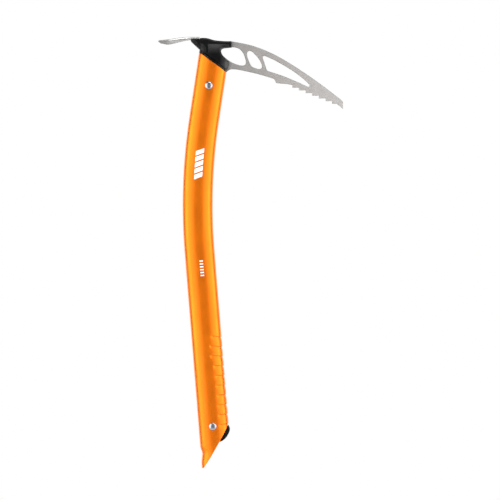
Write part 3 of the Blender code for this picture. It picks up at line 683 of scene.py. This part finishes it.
def make_shaft(mat):
    """The tube as one closed band: down the outside, round the foot's rim, up the inside, round the top."""
    sides, rim, wall_share = SHAFT_SIDES, SHAFT_RIM, SHAFT_RIM / WALL
    outer = (HALF_WIDTH, HALF_DEPTH, True)
    bore = (HALF_WIDTH - WALL, HALF_DEPTH - WALL, False)
    cut = foot_cut_s()
    stations = shaft_stations()
    top_steps = [0.0, 0.04375, 0.125, 0.275, 0.5, 0.75]
    foot_steps = [i / 44 for i in range(1, 44)]
    bm = bmesh.new()
    place_layer = bm.loops.layers.uv.new("place")
    columns = []
    for i in range(sides):
        a = 2 * pi * i / sides
        column = []
        ends = {}
        for wall in (outer, bore):
            u, _ = oval_offset(a, wall[0], wall[1])
            ends[wall] = joint_s(u), s_on_cut(cut, u)
        top, foot = ends[outer]
        column += [tube_point(top + rim + (stations[0] - top - rim) * t, a, *outer) for t in top_steps]
        column += [tube_point(s, a, *outer) for s in stations]
        last = stations[-1]
        column += [tube_point(last + (foot - rim - last) * t, a, *outer) for t in foot_steps]
        column.append(tube_point(foot - rim, a, *outer))
        column += rim_points(a, foot, ends[bore][1], outer, bore, rim, wall_share, -1)
        bore_top, bore_foot = ends[bore]
        column.append(tube_point(bore_foot - rim, a, *bore))
        column += [tube_point(last + (bore_foot - rim - last) * t, a, *bore)
                   for t in reversed(foot_steps[::2])]
        column += [tube_point(s, a, *bore) for s in reversed(stations[::4])]
        column.append(tube_point(bore_top + rim, a, *bore))
        column += rim_points(a, bore_top, top, bore, outer, rim, wall_share, 1)
        columns.append([(bm.verts.new(point), uv) for point, uv in column])
    for i, column in enumerate(columns):
        beyond = columns[(i + 1) % sides]
        count = len(column)
        for j in range(count):
            k = (j + 1) % count
            corners = (column[j], column[k], beyond[k], beyond[j])
            face = bm.faces.new([vert for vert, _ in corners])
            for loop, (_, uv) in zip(face.loops, corners):
                loop[place_layer].uv = uv
    shaft = finish_mesh("shaft_tube", bm, [mat], sharp=32)
    for node in ("head_rivet", "end_rivet"):
        low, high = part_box(node)
        centre = ((low[0] + high[0]) / 2 / MM, (low[2] + high[2]) / 2 / MM)
        apply_boolean(shaft, prism("hole", circle(centre, RIVET_SHANK + GAP), -15.0, 15.0))
    return place(shaft, "shaft", "shaft")


def rim_points(a, s_from, s_to, wall_from, wall_to, rim, share, way):
    """Points that round a rim from one wall of the tube to the other."""
    start, uv_start = tube_point(s_from, a, *wall_from)
    end, uv_end = tube_point(s_to, a, *wall_to)
    back_start, _ = tube_point(s_from + way * rim, a, *wall_from)
    back_end, _ = tube_point(s_to + way * rim, a, *wall_to)
    points = []
    corner = blend_points(blend_points(start, end, share * 0.3),
                          blend_points(start, back_start, 0.3), 0.5)
    points.append((corner, uv_start))
    points.append((blend_points(start, end, share), uv_start))
    points.append((blend_points(end, start, share), uv_end))
    corner = blend_points(blend_points(end, start, share * 0.3),
                          blend_points(end, back_end, 0.3), 0.5)
    points.append((corner, uv_end))
    return points


# ---------------------------------------------------------------- pick

def pick_top():
    """Upper edge of the pick, from the end of the head cover to the tip."""
    return smooth([(-3.3, 15.2), (18.3, 10.6), (39.2, 2.4), (60.1, -9.5), (85.2, -26.4),
                   (110.0, -45.2)], 24)


def pick_teeth():
    """Lower edge from the tip back to the hook, tooth by tooth."""
    points = []
    for i in reversed(range(TEETH)):
        x = TOOTH_FIRST[0] + i * TOOTH_PITCH[0]
        z = TOOTH_FIRST[1] + i * TOOTH_PITCH[1]
        foot = z - TOOTH_STEP
        points += smooth([(x + TOOTH_PITCH[0] - 0.7, foot + 0.15), (x + 3.2, foot + 0.02),
                          (x + 0.5, foot), (x, foot + 0.5)], 3)
        points.append((x, z))
    return points


def pick_underside():
    """Lower edge from the hook back to the head cover."""
    return smooth([(43.9, -28.4), (42.6, -27.5), (41.3, -24.9), (39.4, -23.5), (22.5, -18.5),
                   (5.7, -14.8), (-0.5, -13.9), (-4.4, -14.0), (-7.0, -15.2)], 10)


def pick_outline():
    """The whole plate's outline, from over the cover round the tip and the teeth to the tang."""
    points = [(-33.0, 15.6)]
    points += smooth([(-28.6, 15.4), (-21.0, 14.3), (-12.0, 14.0), (-3.3, 14.4)], 4)
    points += pick_top()
    points += smooth([(112.2, -47.2), (112.8, -49.0), (112.95, -52.0), (112.95, -55.4)], 4)
    points += smooth([(111.6, -54.2), (109.9, -52.7), (106.7, -50.6)], 4)
    points += pick_teeth()
    points += [(54.0, -29.3)]
    points += pick_underside()
    points += [joint_line(15.9, 0.9), joint_line(TANG_HALF_WIDTH, 0.9)]
    corner = 5.0
    points += [beside(TANG_END - corner, TANG_HALF_WIDTH), beside(TANG_END, TANG_HALF_WIDTH - corner),
               beside(TANG_END, corner - TANG_HALF_WIDTH), beside(TANG_END - corner, -TANG_HALF_WIDTH)]
    return points


def clip_hole():
    return ring([(-15.2, 4.7), (-14.5, 7.4), (-11.8, 9.0), (-7.3, 9.3), (-2.6, 9.2), (1.6, 8.6), (5.5, 6.6),
                 (8.5, 2.9), (10.6, -2.3), (11.3, -6.5), (10.7, -9.1), (8.6, -10.0), (5.5, -9.9),
                 (1.6, -8.7), (-2.6, -7.1), (-7.0, -4.4), (-11.3, -0.9), (-14.0, 2.1)], 8)


def web_hole():
    return ring([(15.3, 5.4), (13.2, 4.2), (12.6, 1.6), (13.5, -2.6), (16.0, -8.6), (18.3, -11.5),
                 (22.5, -13.1), (25.4, -13.8), (27.4, -12.9), (28.0, -10.4), (26.8, -6.5), (23.5, -1.3),
                 (20.3, 2.1), (17.8, 4.6)], 8)


def long_hole():
    top = smooth([(29.2, -0.4), (30.6, 0.1), (33.2, -0.7), (43.4, -5.5), (60.1, -15.4),
                  (72.6, -24.9), (77.6, -29.9)], 9)
    end = smooth([(77.8, -31.6), (76.6, -32.2), (74.6, -31.6)], 5)
    bottom = smooth([(68.5, -28.6), (51.7, -21.5), (37.1, -16.6), (34.0, -15.5)], 9)
    left = smooth([(33.2, -14.4), (32.3, -12.0), (30.8, -6.9), (29.1, -2.6)], 7)
    return top + end + bottom + left


def signed_area(outline):
    """Area inside the outline, negative if it runs clockwise."""
    following = outline[1:] + outline[:1]
    return sum(ax * bz - bx * az for (ax, az), (bx, bz) in zip(outline, following)) / 2


def inset(outline, distance):
    """The outline moved to its left by distance, each corner by at most three times that."""
    moved = []
    count = len(outline)
    for i, point in enumerate(outline):
        before = (Vector(point) - Vector(outline[i - 1])).normalized()
        after = (Vector(outline[(i + 1) % count]) - Vector(point)).normalized()
        left = Vector((-before.y, before.x)) + Vector((-after.y, after.x))
        reach = max(left.length_squared / 2, 0.22)
        moved.append(tuple(Vector(point) + left * distance / reach))
    return moved


def even_spacing(outline, least):
    """The outline without points closer than least to the one before."""
    kept = [outline[0]]
    for point in outline[1:]:
        if (Vector(point) - Vector(kept[-1])).length >= least:
            kept.append(point)
    if (Vector(kept[-1]) - Vector(kept[0])).length < least:
        kept.pop()
    return kept


def plate_with_chamfers(name, outer, holes, half, chamfer, materials):
    """A plate with a small chamfer along every edge. The chamfers take the second material."""
    loops = [even_spacing(outer, 0.1)] + [even_spacing(hole, 0.1) for hole in holes]
    loops[0] = loops[0] if signed_area(loops[0]) > 0 else loops[0][::-1]
    loops[1:] = [hole if signed_area(hole) < 0 else hole[::-1] for hole in loops[1:]]
    inner_loops = [inset(loop, chamfer) for loop in loops]
    bm = bmesh.new()
    caps = {-1: [], 1: []}
    for loop, inner in zip(loops, inner_loops):
        rows = []
        for points, y in ((inner, -half), (loop, chamfer - half), (loop, half - chamfer), (inner, half)):
            rows.append([bm.verts.new((x, y, z)) for x, z in points])
        for low, high in zip(rows, rows[1:]):
            for i in range(len(loop)):
                j = (i + 1) % len(loop)
                face = bm.faces.new((low[i], low[j], high[j], high[i]))
                face.material_index = 0 if low is rows[1] else 1
        caps[-1] += rows[0]
        caps[1] += rows[3]
    flat = [[Vector((x, z, 0.0)) for x, z in inner] for inner in inner_loops]
    for a, b, c in tessellate_polygon(flat):
        for side in (-1, 1):
            bm.faces.new((caps[side][a], caps[side][b], caps[side][c]))
    return finish_mesh(name, bm, materials, sharp=25)


def make_pick(mat, edge_mat):
    """The toothed plate with its three openings and the rivet's hole."""
    holes = [clip_hole(), web_hole(), long_hole()]
    low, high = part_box("head_rivet")
    rivet_at = ((low[0] + high[0]) / 2 / MM, (low[2] + high[2]) / 2 / MM)
    holes.append(circle(rivet_at, RIVET_SHANK + GAP, 32))
    pick = plate_with_chamfers("pick_plate", pick_outline(), holes, PLATE / 2, EDGE_CHAMFER,
                               [mat, edge_mat])
    return place(pick, "pick", "pick")


# ---------------------------------------------------------------- adze

def adze_half_width(x):
    """Plan of the adze: a rounded cutting edge, a flare and a neck."""
    neck_in = ADZE_HALF_WIDTH - ADZE_NECK_HALF_WIDTH
    flare = ADZE_HALF_WIDTH - neck_in * ease((x - ADZE_CORNER) / ADZE_FLARE)
    corner = max(ADZE_CORNER - x, 0.0) / (ADZE_CORNER - ADZE_TIP)
    return flare * (0.7 + 0.3 * sqrt(max(0.0, 1 - corner ** 3)))


def adze_height(x):
    """Height of the adze's upper face along its middle."""
    return ADZE_LOW + ADZE_RISE * ease((x - ADZE_RISE_START) / ADZE_RISE_LENGTH)


def ear_outline():
    """Side of an ear."""
    return [(-43.5, 18.1), (-37.6, 18.1), (-37.4, 16.2), (-28.5, 15.9), (-21.0, 14.6), (-19.4, 12.5),
            (-19.6, 6.6), (-21.0, 5.6), (-31.5, 5.6), (-36.0, 9.4)]


def make_adze(mat, edge_mat):
    """A bent sheet with a ground edge and rounded sides, and two ears that straddle the pick's plate."""
    lengths, across = 90, 40
    bm = bmesh.new()
    loops = []
    for i in range(lengths + 1):
        t = i / lengths
        bow_share = 1 - ease(t * 3)
        section = []
        for side in (0, 1):
            order = range(across + 1) if side == 0 else range(across, -1, -1)
            for j in order:
                v = 2 * j / across - 1
                bow = ADZE_BOW * v * v * bow_share
                droop = ADZE_DROOP * v * v * (1 - ease((t - 0.25) / 0.6))
                x = ADZE_TIP + bow + (ADZE_END - ADZE_TIP - bow) * t
                y = v * adze_half_width(x)
                thick = SHEET - (SHEET - ADZE_EDGE) * (1 - ease((x - ADZE_TIP - bow) / ADZE_BEVEL))
                near_side = (1 - abs(v)) * adze_half_width(x) / ADZE_ROUND
                rounded = 1 - sqrt(max(0.0, 1 - (1 - min(near_side, 1.0)) ** 2))
                crown = adze_height(x) - droop
                top = crown - thick * ADZE_ROUND_SHARE * rounded
                under = crown - thick * (1 - ADZE_ROUND_SHARE * rounded)
                section.append(bm.verts.new((x, y, top if side == 0 else under)))
        loops.append(section)
    count = len(loops[0])
    for a, b in zip(loops, loops[1:]):
        for i in range(count):
            j = (i + 1) % count
            bm.faces.new((a[i], a[j], b[j], b[i]))
    bm.faces.new(loops[0])
    bm.faces.new(loops[-1])
    for face in bm.faces:
        middle = face.calc_center_median()
        to_side = adze_half_width(middle.x) - abs(middle.y)
        # Faces near the sides take the dark edge steel: the sheared rim, darkened further as painted shade
        # for the dark lines along the top and bottom edges.
        if middle.x > ADZE_TIP + 2.0 and 0.05 < to_side < ADZE_DARK_SIDE:
            face.material_index = 1
    adze = finish_mesh("adze_sheet", bm, [mat, edge_mat], sharp=35)
    for side in (1, -1):
        near, far = side * (PLATE / 2 + GAP), side * (PLATE / 2 + GAP + SHEET)
        apply_boolean(adze, prism("ear", ear_outline(), near, far, [mat]), "UNION")
    return place(adze, "adze", "adze")


# ---------------------------------------------------------------- head cover

def cover_top():
    """Top edge of the head cover, from the adze to the end of its arm over the clip hole."""
    return smooth([(-36.7, 18.4), (-33.0, 18.6), (-28.2, 18.1), (-20.9, 16.1), (-10.5, 15.2),
                   (-3.5, 15.2)], 8)


def cover_hand_side():
    """Edge of the head cover round the clip hole, from the arm's end to the top of its nose."""
    return smooth([(-3.5, 9.0), (-7.3, 8.7), (-12.0, 8.3), (-14.2, 6.8), (-14.5, 4.7), (-13.1, 0.8),
                   (-9.4, -3.5), (-6.0, -6.4)], 8)


def cover_nose():
    """Edge of the nose, from the clip hole down to the shaft."""
    return smooth([(-5.7, -7.2), (-6.2, -9.6), (-8.2, -15.6)], 6)


def cover_flange():
    """Edge of the flange under the adze, from the shaft up to the adze."""
    return [(-36.9, 6.4)] + smooth([(-45.4, 14.4), (-46.2, 15.6), (-46.2, 17.0)], 5)


def cover_outline():
    """The side of the cover, from the back of the joint over the top to its front."""
    return ([joint_line(-15.7, JOINT_GAP)] + cover_flange() + [(-36.7, 17.0)] + cover_top()
            + cover_hand_side() + cover_nose() + [joint_line(15.7, JOINT_GAP)])


def relief(x, z):
    """Depth of the cover's outer face from the middle plane, before its edges are rounded."""
    above = above_joint(x, z)
    _, u = head_place(x, z)
    oval_face = oval_depth(u, HALF_WIDTH, HALF_DEPTH)
    climb = min(max((z - SHOULDER_START) / (SHOULDER_END - SHOULDER_START), 0.0), 1.0)
    panel = oval_depth(u, HALF_WIDTH, HALF_DEPTH, PANEL_POWER)
    panel += PANEL_RISE * ease((above - LIP - 0.3) / 0.8) - SHOULDER_DROP * climb ** 2
    recess = min(oval_face, RECESS_DEPTH)
    on_panel = ease((x - PANEL_LEFT) / 0.6)
    depth = recess + (panel - recess) * on_panel
    depth += (oval_face - depth) * (1 - ease((above - LIP) / 0.35))
    soften = 1 - on_panel
    depth += (ARM_DEPTH - depth) * ease((z - SHOULDER_END + 2.0 * soften) / (0.5 + 3.5 * soften))
    depth -= LIP_GROOVE * ease((above - LIP) / 0.35) * (1 - ease((above - LIP - 0.5) / 0.6))
    least = ARM_DEPTH * ease(above / 5.0)
    return (max(depth, 0.0) ** 8 + least ** 8) ** (1 / 8)


def round_off(depth, distance, radius):
    """The depth near a rounded edge at that distance."""
    if distance < radius:
        depth -= min(depth - THINNEST, radius - sqrt(radius * radius - (radius - distance) ** 2))
    return depth


def cheek_depth(x, z, edges):
    """How far the cover's outer face stands from the middle plane."""
    depth = relief(x, z)
    depth = min(depth, NOSE_DEPTH + NOSE_SLOPE * distance_to_run(x, z, cover_nose()))
    flange = distance_to_run(x, z, cover_flange())
    swell = FLANGE_RISE * (1 - max(1 - flange / FLANGE_REACH, 0.0) ** 2)
    depth = min(depth, FLANGE_DEPTH + swell + ARM_DEPTH * ease((flange - FLANGE_REACH) / 3.0))
    for run, radius in edges:
        depth = round_off(depth, distance_to_run(x, z, run), radius)
    return max(depth, THINNEST)


def cheek_lines():
    """Lines of the cheek's mesh: (way, distance from the joint), along the relief's own lines."""
    up, across = (-sin(JOINT_SLOPE), 0, cos(JOINT_SLOPE)), (cos(LEAN_HEAD), 0, -sin(LEAN_HEAD))
    upright, level = (0, 0, 1), (1, 0, 0)
    lines = [(up, CHEEK_PITCH * i) for i in range(1, 68)]
    lines += [(up, LIP + step) for step in (0.0, 0.17, 0.35, 0.65, 0.8, 1.1)]
    lines += [(upright, SHOULDER_END - JOINT[1] + step) for step in (0.0, 0.12, 0.25, 0.37, 0.5)]
    lines += [(across, CHEEK_PITCH * i) for i in range(-55, 50)]
    return lines + [(level, PANEL_LEFT - JOINT[0] + step) for step in (0.0, 0.15, 0.3, 0.45, 0.6)]


def make_cover_half(name, side, mat):
    """One half of the cover: a slab whose outer face is raised to the relief."""
    edges = ((cover_top(), 2.4), (cover_hand_side(), 1.9), (cover_flange(), 1.2),
             ([cover_top()[-1], cover_hand_side()[0]], 1.0), (cover_nose(), 0.7))
    bm = bmesh.new()
    bm.faces.new([bm.verts.new((x, GAP / 2, z)) for x, z in cover_outline()])
    joint = Vector((JOINT[0], 0, JOINT[1]))
    for way, distance in cheek_lines():
        bmesh.ops.bisect_plane(bm, geom=bm.verts[:] + bm.edges[:] + bm.faces[:], dist=0.02,
                               plane_co=joint + Vector(way) * distance, plane_no=way)
    raised = bmesh.ops.extrude_face_region(bm, geom=bm.faces[:])["geom"]
    for vert in [v for v in raised if isinstance(v, bmesh.types.BMVert)]:
        vert.co.y = cheek_depth(vert.co.x, vert.co.z, edges)
    flat = [f for f in bm.faces if all(abs(v.co.y - GAP / 2) < 1e-6 for v in f.verts)]
    bmesh.ops.dissolve_faces(bm, faces=flat)
    bmesh.ops.scale(bm, vec=(1, side, 1), verts=bm.verts)
    half = finish_mesh(name, bm, [mat], sharp=50)
    face = PLATE / 2 + GAP
    slot_shape = [(-33.3, 15.9), (-28.6, 15.7), (-21.0, 14.6), (-12.0, 14.3), (0.0, 14.7), (0.0, -40.0),
                  beside(30.0, -TANG_HALF_WIDTH - GAP)]
    apply_boolean(half, prism("plate_slot", slot_shape, -face, face, [mat]))
    return half


# ---------------------------------------------------------------- rivets and plug

def make_rivet(name, node, mat):
    """A rivet with a domed head at each end, slightly flattened at its crown by the tool."""
    low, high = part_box(node)
    head = (high[0] - low[0]) / 2 / MM
    centre = ((low[0] + high[0]) / 2, (low[2] + high[2]) / 2)
    grip = HALF_DEPTH + GAP
    rise = high[1] / MM - grip - RIVET_RIM
    dome = []
    for i in range(15):
        a = i / 14 * 1.5
        dome.append((head * cos(a) ** 0.9, RIVET_RIM + rise * sin(a) ** 0.8))
    half = [(RIVET_SHANK, grip), (head - 0.15, grip), (head, grip + 0.12)]
    half += [(r, grip + y) for r, y in dome]
    profile = [(r, -y) for r, y in reversed(half)] + half
    turns = [2 * pi * i / RIVET_SIDES for i in range(RIVET_SIDES)]
    rings = [[(r * cos(a), y, r * sin(a)) for a in turns] for r, y in profile]
    rivet = finish_mesh(name, stack_bm(rings), [mat], sharp=40)
    rivet.location = (centre[0], 0.0, centre[1])
    return place(rivet, "rivets", node)


def make_plug(mat):
    """The rubber plug: the CAD shape with its corners softened as a mould leaves them."""
    plug = bpy.data.objects.new("end_plug_rubber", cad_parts["end_plug"].data.copy())
    bpy.context.collection.objects.link(plug)
    remesh = plug.modifiers.new("even", "REMESH")
    remesh.mode = "VOXEL"
    remesh.voxel_size = PLUG_VOXEL * MM
    smooth_mod = plug.modifiers.new("soften", "SMOOTH")
    smooth_mod.factor = 0.5
    smooth_mod.iterations = 6
    bake_modifiers(plug)
    plug.data.materials.clear()
    plug.data.materials.append(mat)
    plug.data.shade_smooth()
    return place(plug, "end_plug", "end_plug")


# ---------------------------------------------------------------- light, stage and camera

def area_light(name, place_at, look_at, size, power):
    """A rectangular light that the camera doesn't see."""
    light = bpy.data.lights.new(name, "AREA")
    light.shape = "RECTANGLE"
    light.size, light.size_y = size
    light.energy = power
    obj = bpy.data.objects.new(name, light)
    obj.location = place_at
    obj.rotation_euler = (Vector(look_at) - Vector(place_at)).to_track_quat("-Z", "Y").to_euler()
    obj.visible_camera = False
    bpy.context.collection.objects.link(obj)


def light_the_scene(centre):
    """Wide soft panels left and right of the camera, a soft light above, and dimmer ones behind."""
    def around(degrees, distance, height):
        a = radians(degrees)
        return centre + Vector((sin(a) * distance, -cos(a) * distance, height))

    area_light("left_panel", around(-50, 1.5, 0.1), centre, (1.9, 1.9), 22.0)
    area_light("right_panel", around(50, 1.5, 0.1), centre, (1.9, 1.9), 22.0)
    area_light("left_strip", around(-66, 1.4, 0.1), centre, (0.45, 1.8), 5.0)
    area_light("right_strip", around(66, 1.4, 0.1), centre, (0.45, 1.8), 5.0)
    area_light("front_fill", around(0, 3.4, 0.2), centre, (1.6, 1.6), 0.4)
    area_light("top_soft", around(25, 0.7, 1.4), centre, (1.0, 1.0), 10.0)
    area_light("back_left", around(-135, 1.7, 0.2), centre, (1.2, 1.9), 14.0)
    high = Vector((0.0, 0.0, 0.27))
    area_light("back_high", around(180, 1.8, 0.27), centre + high, (2.0, 0.7), 2.0)
    area_light("back_right", around(135, 1.7, 0.2), centre, (1.2, 1.9), 14.0)


def make_world():
    """White behind the object, and a softer pale surround for light and reflections."""
    world = bpy.data.worlds.new("studio")
    bpy.context.scene.world = world
    world.use_nodes = True
    tree = world.node_tree
    seen = tree.nodes["Background"]
    seen.inputs["Color"].default_value = (1.0, 1.0, 1.0, 1.0)
    seen.inputs["Strength"].default_value = 1.0
    around = tree.nodes.new("ShaderNodeBackground")
    around.inputs["Color"].default_value = (0.94, 0.97, 1.0, 1.0)
    around.inputs["Strength"].default_value = 0.3
    path = tree.nodes.new("ShaderNodeLightPath")
    mix = tree.nodes.new("ShaderNodeMixShader")
    tree.links.new(path.outputs["Is Camera Ray"], mix.inputs["Fac"])
    tree.links.new(around.outputs["Background"], mix.inputs[1])
    tree.links.new(seen.outputs["Background"], mix.inputs[2])
    tree.links.new(mix.outputs["Shader"], tree.nodes["World Output"].inputs["Surface"])


def make_floor(centre):
    """A pale round floor that fades out at its rim, well below the hanging axe."""
    bm = bmesh.new()
    bmesh.ops.create_circle(bm, cap_ends=True, segments=96, radius=1.1 / MM)
    floor_obj = finish_mesh("floor", bm, [])
    floor_obj.location = (centre.x, centre.y, centre.z - 0.42)
    n = Nodes("pale_floor")
    n.set(Base_Color=(0.86, 0.86, 0.86, 1.0), Roughness=0.7)
    length = n.tree.nodes.new("ShaderNodeVectorMath")
    length.operation = "LENGTH"
    n.link(n.coords.outputs["Object"], length.inputs[0])
    n.link(n.scale_to(length.outputs["Value"], 1.0, 0.0, 0.5, 1.08), n.shader.inputs["Alpha"])
    floor_obj.data.materials.append(n.material)


def make_camera():
    """Level with the middle of the axe and square to its side."""
    distance, frame_width = 2.6, 0.52265
    middle_x, middle_z = 0.01568, -0.20279
    camera = bpy.data.cameras.new("camera")
    camera.sensor_width = 36.0
    camera.lens = 36.0 * distance / frame_width
    camera.clip_end = 20.0
    obj = bpy.data.objects.new("camera", camera)
    obj.location = (middle_x, -distance, middle_z)
    obj.rotation_euler = (radians(90.0), 0.0, 0.0)
    bpy.context.collection.objects.link(obj)
    bpy.context.scene.camera = obj


def main():
    """Make the looks of every piece, then the studio round them."""
    orange = anodised_orange()
    steel = tumbled_steel("tumbled_steel", (0.34, 0.325, 0.315), 0.54)
    ground = tumbled_steel("ground_edge_steel", (0.32, 0.31, 0.30), 0.42, edge=True)
    sheet_steel = sheet_finish()
    # The adze's side band: sheared steel darkened further as painted shade.
    sheared_and_shaded_edge = tumbled_steel("sheared_edge_steel_with_painted_shade", (0.10, 0.097, 0.094), 0.5)
    # The cover's nylon carries painted highlights on its nose and panel.
    nylon = moulded_black("black_nylon", (0.0012, 0.0012, 0.0013), 0.30, 0.2, 1500.0, 0.12,
                          painted_highlights=True)
    rubber = moulded_black("black_rubber", (0.0011, 0.0014, 0.0019), 0.44, 0.07, 2200.0, 0.2)
    rivet_steel = bright_steel()
    shim_nylon = plain_inside("grey_nylon", (0.22, 0.22, 0.23), 0.55, 0.0)
    turned = plain_inside("turned_aluminium", (0.70, 0.71, 0.72), 0.35, 1.0)

    make_shaft(orange)
    make_pick(steel, ground)
    make_adze(sheet_steel, sheared_and_shaded_edge)
    place(make_cover_half("cover_half_left", 1, nylon), "head_cover", "head_cover_left")
    place(make_cover_half("cover_half_right", -1, nylon), "head_cover", "head_cover_right")
    make_rivet("head_rivet_domed", "head_rivet", rivet_steel)
    make_rivet("end_rivet_domed", "end_rivet", rivet_steel)
    make_plug(rubber)
    for node, mat in (("tang_shim_left", shim_nylon), ("tang_shim_right", shim_nylon),
                      ("end_rivet_sleeve", turned), ("adze_rivet_rear", rivet_steel),
                      ("adze_rivet_front", rivet_steel)):
        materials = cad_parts[node].data.materials
        materials.clear()
        materials.append(mat)

    low, high = CAD_BOX
    centre = (low + high) / 2
    light_the_scene(centre)
    make_world()
    make_floor(centre)
    make_camera()
    bpy.context.scene.view_settings.view_transform = "Standard"


main()
